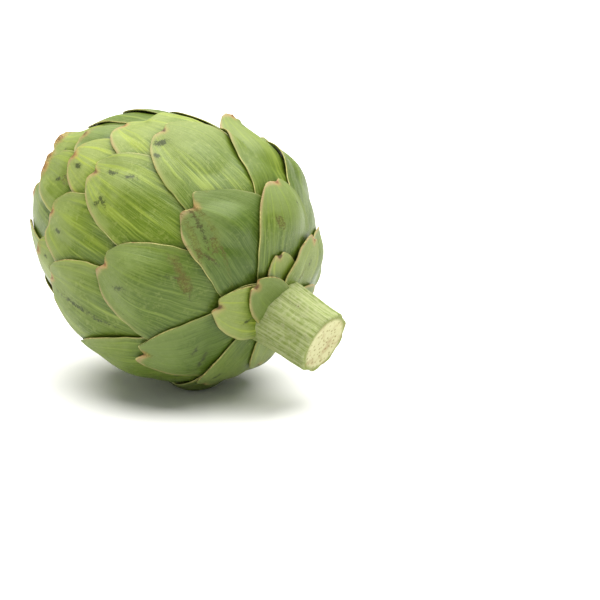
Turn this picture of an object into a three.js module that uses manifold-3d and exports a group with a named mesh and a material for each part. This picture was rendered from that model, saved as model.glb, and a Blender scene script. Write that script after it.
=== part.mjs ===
// A whole globe artichoke as picked, lying on its side: the closed head of overlapping bracts and its cut stem.
// Lengths are millimetres and +Z is up. The floor is the plane z = 0.
import * as THREE from "three";
import { mergeVertices } from "three/addons/utils/BufferGeometryUtils.js";
import Module from "manifold-3d";

const wasm = await Module();
wasm.setup();

// The head is a surface turned about its growth axis, through the tips of the bracts.
const HEAD_RADIUS = 52.5;
const HEAD_LENGTH = 113;
const WIDEST_SHARE = 0.38;
const BASE_ROUNDNESS = 2.5;
const TOP_ROUNDNESS = 2.2;

// The stem is a ribbed stub, cut straight, that sits in a shallow socket under the head.
const STEM_RADIUS = 12.6;
const STEM_FLARE = 1.6;
const STEM_LENGTH = 24;
const STEM_SOCKET = 3;
const STEM_RIBS = 9;
const STEM_RIB_HEIGHT = 0.45;
const STEM_SIDES = 36;
const STEM_RINGS = 6;
const JOINT_GAP = 0.3;

// The head lies with its apex up and away, turned about its own axis by the azimuth of bract 0.
const APEX_HEADING = THREE.MathUtils.degToRad(140.9);
const APEX_TILT = THREE.MathUtils.degToRad(20.9);
const FLAT_DEPTH = 3.4;

// Bracts follow the golden spiral. Each takes up an area of the head, and the areas count them off from the
// stem: [distance along the surface from the stem, area of one bract there].
const GOLDEN_ANGLE = 137.508;
const FIRST_AZIMUTH = 297.4;
const BRACT_AREA = [
  [0, 420],
  [16, 520],
  [40, 800],
  [60, 2080],
  [80, 990],
  [100, 490],
  [120, 470],
  [136, 320],
  [146, 130],
  [158, 60],
];
const COUNT_ARC = 54;
const COUNT_AT_ARC = 9.27;
const LOWEST_TIP = 9;
const TOP_MARGIN = 1.5;

// How large a bract is beside the largest ones, by the distance of its tip from the stem.
const BRACT_SIZE = [
  [0, 0.42],
  [16, 0.6],
  [36, 0.96],
  [84, 1],
  [104, 0.84],
  [122, 0.62],
  [158, 0.4],
];

// Bracts that grew off the regular spiral, or stand off the head: azimuth in degrees, distance along the
// surface, and lift of the tip.
const GROWTH = {
  [-1]: { turn: 27, rise: -0.9 },
  1: { turn: 4, rise: -14 },
  4: { turn: 0, rise: -18 },
  6: { turn: -12.4, rise: -0.4, lift: 0.8 },
  7: { turn: 8, rise: 1.1 },
  9: { turn: -2.6, rise: -1.8 },
  11: { turn: -4, rise: 8, lift: 4 },
  12: { turn: 9.1, rise: 0.5 },
  14: { turn: -14, rise: 6.1 },
  15: { turn: 13, rise: -7.4, lift: 2 },
  17: { turn: 7, rise: 7.7 },
  19: { turn: -11, rise: -13.5, lift: 5 },
  20: { turn: 6.4, rise: -0.1 },
  22: { turn: 3, rise: 5.5 },
  25: { turn: -0.1, rise: 3.7 },
  27: { turn: -15, rise: -12, lift: 1.6 },
  28: { turn: 12, rise: -18, lift: 1.5 },
  30: { turn: -3.4, rise: -1.2 },
  33: { turn: -1.5, rise: -10.5, lift: 2.2 },
  35: { turn: -22, rise: -4, lift: 1.8 },
  38: { turn: 2.7, rise: 1.5, lift: 3 },
  40: { turn: 4, rise: -1, lift: -0.5 },
  43: { turn: -6, rise: -0.6, lift: 4.5 },
  46: { turn: -4, rise: -3.3, lift: 2.2 },
  48: { turn: 3, rise: -5, lift: -0.5 },
  51: { turn: -2, rise: -7.6, lift: 3.2 },
};

// One full-size bract. Its outline opens as a parabola from a blunt, notched tip. Its outside swells below the
// tip and sinks towards the root, so each bract lies over the ones above it. Small bracts swell far less.
const BRACT_LENGTH = 62;
const LENGTH_FALL = 0.3;
const BRACT_HALF_WIDTH = 31;
const TIP_OPENING = 26;
const TIP_START = 1.5;
const TIP_LOBE = 1.1;
const TIP_LOBE_SHARE = 0.62;
const TIP_LOBE_FADE = 4;
const ROOT_SLOPE = 0.085;
const CROWN = 0.5;
const BULGE = 4;
const BULGE_REACH = 32;
const BULGE_FALL = 3;
const SOLID_DEPTH = 4.8;
const LIFT_REACH = 16;
const WIDEST_WRAP = 1.15;
const CORE_DEPTH = 4.7;
const BRACT_ROWS = 5;
const BRACT_COLUMNS = 6;
const SMALL_BRACT_COLUMNS = 4;
const SMALL_BRACT = 0.66;
const ROW_CROWDING = 1.6;

// Small differences between bracts that grew by the same rule.
const TURN_SPREAD = 1.5;
const RISE_SPREAD = 0.9;
const SIZE_SPREAD = 0.03;
const LIFT_SPREAD = 0.5;

// What a draw is for, and the three numbers that make it look random.
const DRAW = { turn: 1, rise: 2, size: 3, lift: 4 };
const DRAW_BY_INDEX = 12.9898;
const DRAW_BY_PURPOSE = 78.233;
const DRAW_SCALE = 43758.5453;

// Fineness, and the smallest sizes that keep a surface open near the axis.
const ARC_STEPS = 600;
const SLOPE_REACH = 0.5;
const CORE_STEPS = 26;
const CORE_SIDES = 30;
const CORE_INSET = 1;
const LEAST_CORE_RADIUS = 0.5;
const LEAST_RADIUS = 0.2;
const LEAST_WRAP_RADIUS = 1;
const MERGE_DISTANCE = 1e-4;

// A repeatable draw between -1 and 1 for a bract and a purpose.
function draw(index, purpose) {
  const wave = Math.sin(index * DRAW_BY_INDEX + purpose * DRAW_BY_PURPOSE) * DRAW_SCALE;
  return 2 * (wave - Math.floor(wave)) - 1;
}

// The value at x on the straight lines through a list of [x, value] points.
function along(points, x) {
  let last = 1;
  while (last < points.length - 1 && points[last][0] < x) last += 1;
  const [x0, y0] = points[last - 1];
  const [x1, y1] = points[last];
  const share = THREE.MathUtils.clamp((x - x0) / (x1 - x0), 0, 1);
  return y0 + (y1 - y0) * share;
}

// The head's radius where share of its length is below.
function headRadius(share) {
  const below = share < WIDEST_SHARE;
  const span = below ? WIDEST_SHARE : 1 - WIDEST_SHARE;
  const reach = Math.abs(share - WIDEST_SHARE) / span;
  const power = below ? BASE_ROUNDNESS : TOP_ROUNDNESS;
  return HEAD_RADIUS * Math.max(0, 1 - reach ** power) ** (1 / power);
}

// The head's outline as points with their distance along it, which is 0 at the stem's edge.
function headOutline() {
  const outline = [];
  let arc = 0;
  for (let step = 0; step <= ARC_STEPS; step += 1) {
    const share = (1 - Math.cos((Math.PI * step) / ARC_STEPS)) / 2;
    const point = { radius: headRadius(share), height: share * HEAD_LENGTH };
    if (step > 0) {
      const before = outline[step - 1];
      arc += Math.hypot(point.radius - before.radius, point.height - before.height);
    }
    outline.push({ ...point, arc });
  }
  const lowest = outline.slice(0, ARC_STEPS / 4).map((p) => [p.radius, p.arc]);
  const stemEdge = along(lowest, STEM_RADIUS);
  return outline.map((p) => ({ ...p, arc: p.arc - stemEdge }));
}

const OUTLINE = headOutline();
const RADIUS_BY_ARC = OUTLINE.map((p) => [p.arc, p.radius]);
const HEIGHT_BY_ARC = OUTLINE.map((p) => [p.arc, p.height]);
const LAST_ARC = OUTLINE[ARC_STEPS].arc;
const STEM_TOP = along(HEIGHT_BY_ARC, 0) + STEM_SOCKET;

// Radius, height and outward direction of the head's outline at a distance along it.
function outlineAt(arc) {
  const reach = THREE.MathUtils.clamp(arc, OUTLINE[0].arc + SLOPE_REACH, LAST_ARC - SLOPE_REACH);
  const radius = along(RADIUS_BY_ARC, reach);
  const height = along(HEIGHT_BY_ARC, reach);
  const slope = (points) => along(points, reach + SLOPE_REACH) - along(points, reach - SLOPE_REACH);
  const radiusSlope = slope(RADIUS_BY_ARC);
  const heightSlope = slope(HEIGHT_BY_ARC);
  const length = Math.hypot(radiusSlope, heightSlope);
  return { radius, height, outRadius: heightSlope / length, outHeight: -radiusSlope / length };
}

// A point over the head's surface, stand millimetres off it.
function overHead(arc, azimuth, stand) {
  const at = outlineAt(arc);
  const radius = Math.max(LEAST_RADIUS, at.radius + stand * at.outRadius);
  return new THREE.Vector3(
    radius * Math.cos(azimuth),
    radius * Math.sin(azimuth),
    at.height + stand * at.outHeight,
  );
}

// Every bract of the head, counted off by area along the surface from the lowest tip to the apex.
function growBracts() {
  const counts = [[0, OUTLINE[0].arc]];
  for (let step = 1; step <= ARC_STEPS; step += 1) {
    const [before, after] = [OUTLINE[step - 1], OUTLINE[step]];
    const belt = Math.PI * (before.radius + after.radius) * (after.arc - before.arc);
    counts.push([counts[step - 1][0] + belt / along(BRACT_AREA, after.arc), after.arc]);
  }
  const countAtArc = along(counts.map(([count, arc]) => [arc, count]), COUNT_ARC);
  const arcByIndex = counts.map(([count, arc]) => [count - countAtArc + COUNT_AT_ARC, arc]);
  const bracts = [];
  for (let index = Math.ceil(arcByIndex[0][0]); index < arcByIndex[ARC_STEPS][0]; index += 1) {
    const regularArc = along(arcByIndex, index);
    if (regularArc < LOWEST_TIP || regularArc > LAST_ARC - TOP_MARGIN) continue;
    const grown = GROWTH[index] ?? {};
    const turn = grown.turn ?? TURN_SPREAD * draw(index, DRAW.turn);
    const arc = regularArc + (grown.rise ?? RISE_SPREAD * draw(index, DRAW.rise));
    bracts.push({
      azimuth: THREE.MathUtils.degToRad(FIRST_AZIMUTH - GOLDEN_ANGLE * index + turn),
      arc,
      size: along(BRACT_SIZE, arc) * (1 + SIZE_SPREAD * draw(index, DRAW.size)),
      lift: grown.lift ?? LIFT_SPREAD * draw(index, DRAW.lift),
    });
  }
  return bracts;
}

// A point of a bract: down runs from tip to root in millimetres, across from -1 to 1 between the margins,
// and depth goes into the head.
function bractPoint(bract, down, across, depth) {
  const full = down / bract.size;
  const opening = Math.sqrt(TIP_OPENING * (full + TIP_START));
  const halfWidth = bract.size * BRACT_HALF_WIDTH * Math.tanh(opening / BRACT_HALF_WIDTH);
  const lobeShape = Math.sin(Math.PI * Math.min(1, Math.abs(across) / TIP_LOBE_SHARE));
  const lobe = TIP_LOBE * lobeShape * Math.exp(-full / TIP_LOBE_FADE);
  const arc = bract.arc - down + lobe * bract.size;
  const radius = Math.max(LEAST_WRAP_RADIUS, outlineAt(arc).radius);
  const wrap = WIDEST_WRAP * Math.tanh(halfWidth / radius / WIDEST_WRAP);
  const rise = bract.lift * Math.max(0, 1 - down / (LIFT_REACH * bract.size)) ** 2;
  const swelling = Math.sin(Math.PI * Math.min(1, full / BULGE_REACH)) * (1 - across ** 2);
  const sunk = ROOT_SLOPE * down + CROWN * bract.size * across ** 2;
  const stand = rise + BULGE * bract.size ** BULGE_FALL * swelling - sunk - depth;
  return overHead(arc, bract.azimuth + across * wrap, stand);
}

// The closed surface between two like grids of points, the first outside and the second inside.
function shell(outer, inner) {
  const rows = outer.length;
  const columns = outer[0].length;
  const points = [...outer.flat(), ...inner.flat()];
  const at = (side, row, column) => side * rows * columns + row * columns + column;
  const faces = [];
  const quad = (a, b, c, d) => faces.push(a, b, c, a, c, d);
  for (let row = 0; row < rows - 1; row += 1) {
    for (let column = 0; column < columns - 1; column += 1) {
      const [a, b] = [at(0, row, column), at(0, row, column + 1)];
      const [c, d] = [at(0, row + 1, column + 1), at(0, row + 1, column)];
      const inside = rows * columns;
      quad(a, d, c, b);
      quad(a + inside, b + inside, c + inside, d + inside);
    }
  }
  for (let row = 0; row < rows - 1; row += 1) {
    quad(at(0, row, 0), at(1, row, 0), at(1, row + 1, 0), at(0, row + 1, 0));
    const end = columns - 1;
    quad(at(0, row + 1, end), at(1, row + 1, end), at(1, row, end), at(0, row, end));
  }
  for (let column = 0; column < columns - 1; column += 1) {
    quad(at(0, 0, column + 1), at(1, 0, column + 1), at(1, 0, column), at(0, 0, column));
    const end = rows - 1;
    quad(at(0, end, column), at(1, end, column), at(1, end, column + 1), at(0, end, column + 1));
  }
  const geometry = new THREE.BufferGeometry().setFromPoints(points);
  geometry.setIndex(faces);
  return geometry;
}

function bractGeometry(bract) {
  const columns = bract.size < SMALL_BRACT ? SMALL_BRACT_COLUMNS : BRACT_COLUMNS;
  const grid = (depth) =>
    Array.from({ length: BRACT_ROWS + 1 }, (_, row) =>
      Array.from({ length: columns + 1 }, (_, column) => {
        const down = BRACT_LENGTH * bract.size ** LENGTH_FALL * (row / BRACT_ROWS) ** ROW_CROWDING;
        return bractPoint(bract, down, (2 * column) / columns - 1, depth);
      }),
    );
  return shell(grid(0), grid(SOLID_DEPTH));
}

// The solid core that the bracts grow from, sunk under their roots.
function coreGeometry() {
  const profile = [];
  const start = OUTLINE[0].arc + CORE_INSET;
  const end = LAST_ARC - CORE_INSET;
  for (let step = 0; step <= CORE_STEPS; step += 1) {
    const arc = start + ((end - start) * step) / CORE_STEPS;
    const at = outlineAt(arc);
    const depth = CORE_DEPTH * along(BRACT_SIZE, arc);
    const onAxis = step === 0 || step === CORE_STEPS;
    const radius = onAxis ? 0 : Math.max(LEAST_CORE_RADIUS, at.radius - depth * at.outRadius);
    profile.push(new THREE.Vector2(radius, at.height - depth * at.outHeight));
  }
  return new THREE.LatheGeometry(profile, CORE_SIDES).rotateX(Math.PI / 2);
}

// The stem, or with a gap above zero the larger space that it sits in.
function stemGeometry(gap) {
  const rings = [];
  for (let ring = 0; ring <= STEM_RINGS; ring += 1) {
    const share = ring / STEM_RINGS;
    const height = STEM_TOP + gap - (STEM_LENGTH + STEM_SOCKET + 2 * gap) * share;
    const flare = STEM_FLARE * (1 - share) ** 2;
    const points = Array.from({ length: STEM_SIDES }, (_, side) => {
      const turn = (2 * Math.PI * side) / STEM_SIDES;
      const radius = STEM_RADIUS + flare + STEM_RIB_HEIGHT * Math.cos(STEM_RIBS * turn) + gap;
      return new THREE.Vector3(radius * Math.cos(turn), radius * Math.sin(turn), height);
    });
    rings.push(points);
  }
  const ends = [rings[0][0].z, rings[STEM_RINGS][0].z].map((z) => new THREE.Vector3(0, 0, z));
  const points = [...rings.flat(), ...ends];
  const [topCentre, endCentre] = [points.length - 2, points.length - 1];
  const faces = [];
  for (let side = 0; side < STEM_SIDES; side += 1) {
    const next = (side + 1) % STEM_SIDES;
    for (let ring = 0; ring < STEM_RINGS; ring += 1) {
      const [top, low] = [ring * STEM_SIDES, (ring + 1) * STEM_SIDES];
      faces.push(top + side, low + side, low + next, top + side, low + next, top + next);
    }
    const end = STEM_RINGS * STEM_SIDES;
    faces.push(topCentre, side, next, endCentre, end + next, end + side);
  }
  const geometry = new THREE.BufferGeometry().setFromPoints(points);
  geometry.setIndex(faces);
  return geometry;
}

// A geometry as a solid that can be joined and cut, and back again.
function solidOf(geometry) {
  const bare = geometry.clone();
  bare.deleteAttribute("normal");
  bare.deleteAttribute("uv");
  const merged = mergeVertices(bare, MERGE_DISTANCE);
  return new wasm.Manifold(
    new wasm.Mesh({
      numProp: 3,
      vertProperties: merged.attributes.position.array,
      triVerts: new Uint32Array(merged.index.array),
    }),
  );
}

function geometryOf(solid) {
  const mesh = solid.getMesh();
  const geometry = new THREE.BufferGeometry();
  geometry.setAttribute("position", new THREE.BufferAttribute(mesh.vertProperties, 3));
  geometry.setIndex(new THREE.BufferAttribute(mesh.triVerts, 1));
  return geometry;
}

// The largest body of a solid, without closed pockets.
function outsideOf(solid) {
  return solid.decompose().reduce((largest, body) => (body.volume() > largest.volume() ? body : largest));
}

function headSolid() {
  const parts = growBracts().map((bract) => solidOf(bractGeometry(bract)));
  const joined = parts.reduce((whole, bract) => whole.add(bract), solidOf(coreGeometry()));
  return outsideOf(joined.subtract(solidOf(stemGeometry(JOINT_GAP))));
}

// From the head's own frame, with the apex up, to how it lies.
const lie = new THREE.Matrix4()
  .makeRotationZ(APEX_HEADING)
  .multiply(new THREE.Matrix4().makeRotationY(Math.PI / 2 - APEX_TILT));

function lay(geometry) {
  const laid = geometry.applyMatrix4(lie);
  laid.computeBoundingBox();
  return laid;
}

const headLaid = lay(geometryOf(headSolid()));
const stemLaid = lay(stemGeometry(0));

// Both are set down together, sunk by the depth of the pressed flat spot and centred over the origin.
const whole = headLaid.boundingBox.clone().union(stemLaid.boundingBox);
const centre = whole.getCenter(new THREE.Vector3());
const floorLevel = headLaid.boundingBox.min.z + FLAT_DEPTH;
headLaid.translate(-centre.x, -centre.y, -floorLevel);
stemLaid.translate(-centre.x, -centre.y, -floorLevel);

function cutAtFloor(geometry) {
  const under = new THREE.BoxGeometry(4 * HEAD_RADIUS, 4 * HEAD_RADIUS, HEAD_RADIUS);
  under.translate(0, 0, -HEAD_RADIUS / 2);
  return geometryOf(solidOf(geometry).subtract(solidOf(under)));
}

const head = new THREE.Mesh(
  cutAtFloor(headLaid),
  new THREE.MeshStandardMaterial({ color: 0x8fa860, roughness: 0.62, metalness: 0 }),
);
head.name = "bract_head";

const stem = new THREE.Mesh(
  stemLaid,
  new THREE.MeshStandardMaterial({ color: 0xa8b27a, roughness: 0.7, metalness: 0 }),
);
stem.name = "stem";

const artichoke = new THREE.Group();
artichoke.add(head, stem);

export default artichoke;
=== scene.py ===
# %% [markdown]
# # A whole artichoke, lying on its side
#
# An artichoke is a flower bud. Tough leaf-like scales, called bracts, overlap like roof tiles round a
# closed head, and the cut stem sticks out at one end. It is modelled as it grows: one rule places every
# bract on a spiral, a second rule gives one bract its form, and a third lays each bract over the ones
# inside it.

import math

import bpy
import numpy as np
from mathutils import Matrix, Vector


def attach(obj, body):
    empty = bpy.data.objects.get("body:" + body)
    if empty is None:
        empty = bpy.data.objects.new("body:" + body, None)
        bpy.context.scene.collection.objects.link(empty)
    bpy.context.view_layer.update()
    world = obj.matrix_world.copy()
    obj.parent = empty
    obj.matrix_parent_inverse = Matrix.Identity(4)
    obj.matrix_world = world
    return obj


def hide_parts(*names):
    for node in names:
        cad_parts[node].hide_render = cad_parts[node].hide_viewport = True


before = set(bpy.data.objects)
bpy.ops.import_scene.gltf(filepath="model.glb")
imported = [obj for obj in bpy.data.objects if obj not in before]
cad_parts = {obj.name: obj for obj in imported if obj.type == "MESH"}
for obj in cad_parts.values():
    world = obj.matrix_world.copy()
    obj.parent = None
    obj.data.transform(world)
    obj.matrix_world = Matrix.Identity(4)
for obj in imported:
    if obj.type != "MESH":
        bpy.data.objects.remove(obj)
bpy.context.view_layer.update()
MM = 0.001

# %% [markdown]
# The head is a surface of revolution: a round base, widest below the middle, and a domed top. All its
# sizes are in millimetres, and a place on it is given by an azimuth round the growth axis and a
# distance, the arc, along the outline from the edge of the stem. Working in these two numbers makes the
# head as easy to lay out as a flat map.

# %% The head's outline
HEAD_RADIUS = 52.5
HEAD_LENGTH = 113
WIDEST_SHARE = 0.38
BASE_ROUNDNESS = 2.5
TOP_ROUNDNESS = 2.2
STEM_RADIUS = 12.6
ARC_STEPS = 600
SLOPE_REACH = 0.5


def head_radius(share):
    below = share < WIDEST_SHARE
    span = np.where(below, WIDEST_SHARE, 1 - WIDEST_SHARE)
    power = np.where(below, BASE_ROUNDNESS, TOP_ROUNDNESS)
    reach = np.abs(share - WIDEST_SHARE) / span
    return HEAD_RADIUS * np.maximum(0, 1 - reach**power) ** (1 / power)


shares = (1 - np.cos(np.pi * np.arange(ARC_STEPS + 1) / ARC_STEPS)) / 2
OUT_RADIUS = head_radius(shares)
OUT_HEIGHT = shares * HEAD_LENGTH
OUT_ARC = np.concatenate([[0], np.cumsum(np.hypot(np.diff(OUT_RADIUS), np.diff(OUT_HEIGHT)))])
lowest = slice(0, ARC_STEPS // 4)
OUT_ARC -= np.interp(STEM_RADIUS, OUT_RADIUS[lowest], OUT_ARC[lowest])


def outline_at(arc):
    """Radius, height and the outward direction's two parts, at distances along the outline."""
    reach = np.clip(arc, OUT_ARC[0] + SLOPE_REACH, OUT_ARC[-1] - SLOPE_REACH)
    radius = np.interp(reach, OUT_ARC, OUT_RADIUS)
    height = np.interp(reach, OUT_ARC, OUT_HEIGHT)
    ahead, behind = reach + SLOPE_REACH, reach - SLOPE_REACH
    radius_slope = np.interp(ahead, OUT_ARC, OUT_RADIUS) - np.interp(behind, OUT_ARC, OUT_RADIUS)
    height_slope = np.interp(ahead, OUT_ARC, OUT_HEIGHT) - np.interp(behind, OUT_ARC, OUT_HEIGHT)
    length = np.hypot(radius_slope, height_slope)
    return radius, height, height_slope / length, -radius_slope / length


print(f"outline: {OUT_ARC[-1] - OUT_ARC[0]:.0f} mm long, {2 * OUT_RADIUS.max():.0f} mm across")

# %% [markdown]
# The head lies with its apex up and away from the camera. Its growth axis is known, and the solid stem
# shows where that axis starts, so every point of the head's own frame can be carried into the scene.

# %% How the head lies
APEX_HEADING = math.radians(140.9)
APEX_TILT = math.radians(20.9)
STEM_SOCKET = 3
STEM_TOP = float(np.interp(0, OUT_ARC, OUT_HEIGHT)) + STEM_SOCKET
RING_DEPTH = 0.05

LIE = Matrix.Rotation(APEX_HEADING, 3, "Z") @ Matrix.Rotation(math.pi / 2 - APEX_TILT, 3, "Y")
AXIS = LIE @ Vector((0, 0, 1))
stem_points = [vertex.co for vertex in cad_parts["stem"].data.vertices]
top_reach = max(point.dot(AXIS) for point in stem_points)
top_ring = [point for point in stem_points if point.dot(AXIS) > top_reach - RING_DEPTH * MM]
stem_centre = sum(top_ring, Vector()) / len(top_ring)
HEAD_BASE = stem_centre - AXIS * STEM_TOP * MM


def to_scene(points):
    """Points of the head's own frame, in millimetres, as scene points in metres."""
    turned = np.asarray(points) @ np.array(LIE).T
    return turned * MM + np.array(HEAD_BASE)


print("head starts at", [round(v, 4) for v in HEAD_BASE])
print("and points along", [round(v, 3) for v in AXIS])

# %% [markdown]
# Bracts follow the golden angle, as sunflower seeds do. Each one covers a known area of the head, so
# counting area off along the outline gives the place of every tip. A few bracts grew a little off the
# rule or stand off the head, and a short table says how. One that slipped over its neighbour has its
# own place in the order.

# %% Where the bracts grow
GOLDEN_ANGLE = 137.508
FIRST_AZIMUTH = 297.4
BRACT_AREA = [[0, 420], [16, 520], [40, 800], [60, 2080], [80, 990], [100, 490], [120, 470], [136, 320]]
BRACT_AREA += [[146, 130], [158, 60]]
COUNT_ARC = 54
COUNT_AT_ARC = 9.27
LOWEST_TIP = 9
TOP_MARGIN = 1.5
BRACT_SIZE = [[0, 0.42], [16, 0.6], [36, 0.96], [84, 1], [104, 0.84], [122, 0.62], [158, 0.4]]
GROWTH = {
    -1: {"turn": 27, "rise": -0.9},
    1: {"turn": 4, "rise": -14},
    4: {"turn": 0, "rise": -18},
    6: {"turn": -12.4, "rise": -0.4, "lift": 0.8},
    7: {"turn": 8, "rise": 1.1},
    9: {"turn": -2.6, "rise": -1.8},
    11: {"turn": -4, "rise": 8, "lift": 4},
    12: {"turn": 9.1, "rise": 0.5},
    14: {"turn": -14, "rise": 6.1},
    15: {"turn": 13, "rise": -7.4, "lift": 2},
    17: {"turn": 7, "rise": 7.7},
    19: {"turn": -11, "rise": -13.5, "lift": 5, "order": 13.5},
    20: {"turn": 6.4, "rise": -0.1},
    22: {"turn": 3, "rise": 5.5},
    25: {"turn": -0.1, "rise": 3.7},
    27: {"turn": -15, "rise": -12, "lift": 1.6},
    28: {"turn": 12, "rise": -18, "lift": 1.5},
    30: {"turn": -3.4, "rise": -1.2},
    33: {"turn": -1.5, "rise": -10.5, "lift": 2.2},
    35: {"turn": -22, "rise": -4, "lift": 1.8},
    38: {"turn": 2.7, "rise": 1.5, "lift": 3},
    40: {"turn": 4, "rise": -1, "lift": -0.5},
    43: {"turn": -6, "rise": -0.6, "lift": 4.5},
    46: {"turn": -4, "rise": -3.3, "lift": 2.2},
    48: {"turn": 3, "rise": -5, "lift": -0.5},
    51: {"turn": -2, "rise": -7.6, "lift": 3.2},
}
TURN_SPREAD, RISE_SPREAD, SIZE_SPREAD, LIFT_SPREAD = 1.5, 0.9, 0.03, 0.5
STIR_INDEX, STIR_PURPOSE, STIR_GAIN = 12.9898, 78.233, 43758.5453
DRAW = {"turn": 1, "rise": 2, "size": 3, "lift": 4, "seed": 5, "lobe": 6, "uneven": 7, "warm": 8, "margin": 9}
DRAW |= {"dent": 11, "dent across": 12, "ridge": 13, "ridge bend": 14}
DRAW |= {"marked": 21, "mark down": 22, "mark across": 23, "mark length": 24, "mark lean": 25}
DRAW |= {"scarred": 26, "scar lean": 27}


def draw(index, purpose):
    """A repeatable draw between -1 and 1, another one for each purpose."""
    wave = math.sin(index * STIR_INDEX + DRAW[purpose] * STIR_PURPOSE) * STIR_GAIN
    return 2 * (wave - math.floor(wave)) - 1


def along(points, x):
    xs, ys = zip(*points)
    return np.interp(x, xs, ys)


belts = np.pi * (OUT_RADIUS[1:] + OUT_RADIUS[:-1]) * np.diff(OUT_ARC)
counts = np.concatenate([[0], np.cumsum(belts / along(BRACT_AREA, OUT_ARC[1:]))])
counts += COUNT_AT_ARC - np.interp(COUNT_ARC, OUT_ARC, counts)
bracts = []
for index in range(math.ceil(counts[0]), math.ceil(counts[-1])):
    regular_arc = float(np.interp(index, counts, OUT_ARC))
    if not LOWEST_TIP <= regular_arc <= OUT_ARC[-1] - TOP_MARGIN:
        continue
    grown = GROWTH.get(index, {})
    arc = regular_arc + grown.get("rise", RISE_SPREAD * draw(index, "rise"))
    turned = grown.get("turn", TURN_SPREAD * draw(index, "turn"))
    bracts.append(
        {
            "index": index,
            "order": grown.get("order", index),
            "azimuth": math.radians(FIRST_AZIMUTH - GOLDEN_ANGLE * index + turned),
            "arc": arc,
            "size": float(along(BRACT_SIZE, arc)) * (1 + SIZE_SPREAD * draw(index, "size")),
            "lift": grown.get("lift", LIFT_SPREAD * draw(index, "lift")),
        }
    )
bracts.sort(key=lambda bract: bract["order"])
print(len(bracts), "bracts, numbered", bracts[0]["index"], "to", bracts[-1]["index"])

# %% [markdown]
# One bract is a broad scale with a blunt tip. Its outline opens like a parabola, and the tip is notched
# between two low lobes. Two numbers place a point on it: down, from the tip towards the root, and
# across, from -1 at one margin to 1 at the other. The same outline rule runs both ways, from these
# numbers to the head and back, since the way back tells which bract covers a spot. A table holds what
# sets single bracts apart: a deeper notch, a keel down the middle, a wider opening, a lean to one side,
# margins that curl away (side, lift, and from where to where below the tip), and how warm the green is.

# %% One bract's outline
BRACT_LENGTH = 62
LENGTH_FALL = 0.3
BRACT_HALF_WIDTH = 31
TIP_OPENING = 26
TIP_START = 1.5
TIP_LOBE = 1.3
LOBE_PLACE = 1.4
TIP_LOBE_FADE = 4
LOBE_SPREAD = 0.4
LOBE_UNEVENNESS = 0.25
LEAST_OPENING = 0.05
MARGIN_WAVE = 0.011
MARGIN_LONG, MARGIN_SHORT, SHORT_SHARE, MARGIN_PHASE = 3.4, 1.3, 0.6, 3
CURL_START, CURL_GAIN = 0.45, 3.3
LEAN_REACH = 18
WIDEST_WRAP = 1.15
WAY_BACK_ROUNDS = 3
PLAIN_KEEL = 0.02
PLAIN_WARMTH, WARMTH_SPREAD = 0.5, 0.3
CHARACTER = {
    6: {"warm": 0.35},
    7: {"lobe": 2.3, "warm": 0.16, "curls": [(1, 0.5, 4, 30)]},
    9: {"lobe": 2.6, "keel": 0.26, "opening": 1.7, "lean": 0.17, "warm": 0.12},
    12: {"lobe": 1.5, "warm": 0.3},
    14: {"warm": 0.62},
    15: {"warm": 0.42, "curls": [(1, 1.1, 3, 30)]},
    17: {"warm": 0.68},
    19: {"warm": 0.55, "curls": [(-1, 1.0, 4, 34)]},
    20: {"warm": 0.5},
    22: {"warm": 0.85},
    25: {"warm": 0.62},
    28: {"warm": 0.5, "curls": [(-1, 1.2, 2, 30)]},
    30: {"warm": 0.95},
    33: {"warm": 0.7, "curls": [(-1, 1.0, 2, 20)]},
}
for bract in bracts:
    own = CHARACTER.get(bract["index"], {})
    bract["lobe"] = TIP_LOBE * own.get("lobe", 1 + LOBE_SPREAD * draw(bract["index"], "lobe"))
    bract["keel"] = own.get("keel", PLAIN_KEEL)
    bract["opening"] = own.get("opening", 1)
    bract["lean"] = own.get("lean", 0)
    bract["curls"] = own.get("curls", [])
    bract["warm"] = own.get("warm", PLAIN_WARMTH + WARMTH_SPREAD * draw(bract["index"], "warm"))


def blade_length(bract):
    return BRACT_LENGTH * bract["size"] ** LENGTH_FALL


def half_width(bract, down):
    full = down / bract["size"]
    opening = np.sqrt(TIP_OPENING * bract["opening"] * np.maximum(LEAST_OPENING, full + TIP_START))
    phase = MARGIN_PHASE * draw(bract["index"], "margin")
    short_wave = SHORT_SHARE * np.sin(full / MARGIN_SHORT + 2 * phase)
    wave = 1 + MARGIN_WAVE * (np.sin(full / MARGIN_LONG + phase) + short_wave)
    return bract["size"] * BRACT_HALF_WIDTH * wave * np.tanh(opening / BRACT_HALF_WIDTH)


def tip_lobe(bract, down, across):
    shape = np.sin(np.pi * np.minimum(1, np.abs(across)) ** LOBE_PLACE)
    uneven = 1 + LOBE_UNEVENNESS * np.sign(across) * draw(bract["index"], "uneven")
    fade = np.exp(-np.maximum(0, down) / bract["size"] / TIP_LOBE_FADE)
    return bract["size"] * bract["lobe"] * uneven * shape * fade


def curled(bract, down, across):
    """How far the margins curl away from the head."""
    raised = 0 * down * across
    for side, lift, start, end in bract["curls"]:
        below = np.sin(np.pi * np.clip((down - start) / (end - start), 0, 1))
        raised = raised + CURL_GAIN * lift * below * np.maximum(0, side * across - CURL_START) ** 2
    return raised


def wrap_angle(bract, down, arc):
    radius = np.maximum(1, np.interp(arc, OUT_ARC, OUT_RADIUS))
    return WIDEST_WRAP * np.tanh(half_width(bract, down) / radius / WIDEST_WRAP)


def leaning(bract, down):
    return bract["lean"] * np.tanh(np.maximum(0, down) / LEAN_REACH)


def place_on_head(bract, down, across):
    """Arc and turn from the bract's own azimuth, of points of a bract."""
    arc = bract["arc"] - down + tip_lobe(bract, down, across)
    return arc, across * wrap_angle(bract, down, arc) + leaning(bract, down)


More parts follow.
